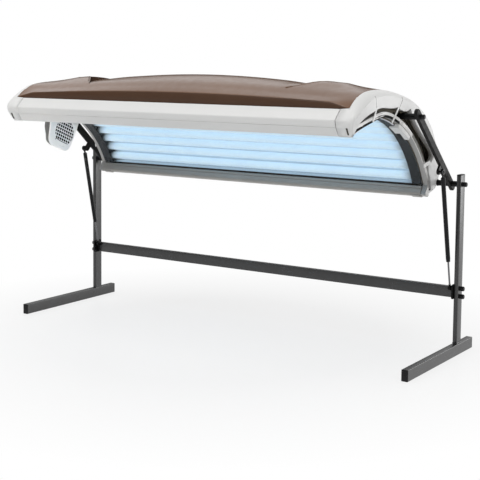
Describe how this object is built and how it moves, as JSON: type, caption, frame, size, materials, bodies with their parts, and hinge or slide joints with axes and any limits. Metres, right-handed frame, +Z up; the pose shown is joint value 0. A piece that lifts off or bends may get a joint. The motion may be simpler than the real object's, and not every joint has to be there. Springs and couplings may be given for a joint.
{
  "type": "tanning canopy on a stand",
  "caption": "Arched tanning canopy with lamps behind a clear sheet, lifted on gas springs by a free-standing steel stand, with a body fan at one end.",
  "frame": {"origin": "on the floor under the middle of the object's box", "axes": "+X along the canopy towards the end without the fan, +Z up, -Y towards the open front"},
  "size_m": [2.1866, 0.9582, 1.2462],
  "materials": {
    "stand_paint": "satin gunmetal",
    "black_plastic": "fine grain",
    "black_hardware": "satin black",
    "rod_steel": "dark polished",
    "brown_shell": "metallic taupe gloss",
    "white_plastic": "satin white",
    "grey_rail": "satin grey",
    "charcoal_plastic": "matt",
    "clear_acrylic": "clear gloss",
    "lamp_glass": "lit tube",
    "reflector_aluminium": "bright"
  },
  "bodies": {
    "stand": {"cross_bar": "stand_paint", "left_foot": "stand_paint", "left_foot_front_cap": "black_plastic", "left_foot_rear_cap": "black_plastic", "left_post": "stand_paint", "left_post_cap": "black_plastic", "left_bar_bolt_lower": "black_hardware", "left_bar_bolt_upper": "black_hardware", "left_spring_bracket": "black_hardware", "left_pivot_bolt": "black_hardware", "right_foot": "stand_paint", "right_foot_front_cap": "black_plastic", "right_foot_rear_cap": "black_plastic", "right_post": "stand_paint", "right_post_cap": "black_plastic", "right_bar_bolt_lower": "black_hardware", "right_bar_bolt_upper": "black_hardware", "right_spring_bracket": "black_hardware", "right_pivot_bolt": "black_hardware"},
    "canopy": {"top_shell": "brown_shell", "front_band": "white_plastic", "rear_rail": "grey_rail", "acrylic_sheet": "clear_acrylic", "lamp_01": "lamp_glass", "lamp_02": "lamp_glass", "lamp_03": "lamp_glass", "lamp_04": "lamp_glass", "lamp_05": "lamp_glass", "lamp_06": "lamp_glass", "lamp_07": "lamp_glass", "lamp_08": "lamp_glass", "lamp_09": "lamp_glass", "lamp_10": "lamp_glass", "lamp_11": "lamp_glass", "lamp_12": "lamp_glass", "lamp_13": "lamp_glass", "lamp_14": "lamp_glass", "reflector": "reflector_aluminium", "ballast_tray": "reflector_aluminium", "fan_housing": "white_plastic", "fan_grille": "white_plastic", "fan_motor": "black_plastic", "mains_inlet": "black_plastic", "left_arm": "stand_paint", "left_arm_bolt": "black_hardware", "left_end_cap": "white_plastic", "left_end_plate": "charcoal_plastic", "left_end_rail": "grey_rail", "left_sheet_catch": "white_plastic", "right_arm": "stand_paint", "right_arm_bolt": "black_hardware", "right_end_cap": "white_plastic", "right_end_plate": "charcoal_plastic", "right_end_rail": "grey_rail", "right_sheet_catch": "white_plastic"},
    "left_rod": {"left_spring_rod": "rod_steel"},
    "left_cylinder": {"left_spring_cylinder": "black_hardware"},
    "right_rod": {"right_spring_rod": "rod_steel"},
    "right_cylinder": {"right_spring_cylinder": "black_hardware"},
    "impeller": {"fan_impeller": "black_plastic"}
  },
  "joints": [
    {"name": "canopy_lift", "type": "hinge", "parent": "stand", "child": "canopy", "pos_m": [0, 0.34013, 0.77], "axis": [1, 0, 0], "range_deg": [0, 21], "stiffness_Nm_per_rad": 110, "springref_deg": -111.73},
    {"name": "left_spring_tilt", "type": "hinge", "parent": "stand", "child": "left_rod", "pos_m": [-1.034, 0.31512, 0.3], "axis": [1, 0, 0], "range_deg": [0, 3.3]},
    {"name": "left_spring_stroke", "type": "slide", "parent": "left_rod", "child": "left_cylinder", "axis": [0, -0.2107, 0.9776], "range_m": [-0.052, 0]},
    {"name": "right_spring_tilt", "type": "hinge", "parent": "stand", "child": "right_rod", "pos_m": [1.034, 0.31512, 0.3], "axis": [1, 0, 0], "range_deg": [0, 3.3]},
    {"name": "right_spring_stroke", "type": "slide", "parent": "right_rod", "child": "right_cylinder", "axis": [0, -0.2107, 0.9776], "range_m": [-0.052, 0]},
    {"name": "fan_spin", "type": "hinge", "parent": "canopy", "child": "impeller", "pos_m": [-0.972, -0.04642, 0.93499], "axis": [1, 0, 0], "continuous": true}
  ],
  "couplings": [
    {"joint": "left_spring_tilt", "follows": "canopy_lift", "ratio": 0.14409},
    {"joint": "left_spring_stroke", "follows": "canopy_lift", "m_per_rad": -0.13441},
    {"joint": "right_spring_tilt", "follows": "canopy_lift", "ratio": 0.14409},
    {"joint": "right_spring_stroke", "follows": "canopy_lift", "m_per_rad": -0.13441}
  ]
}
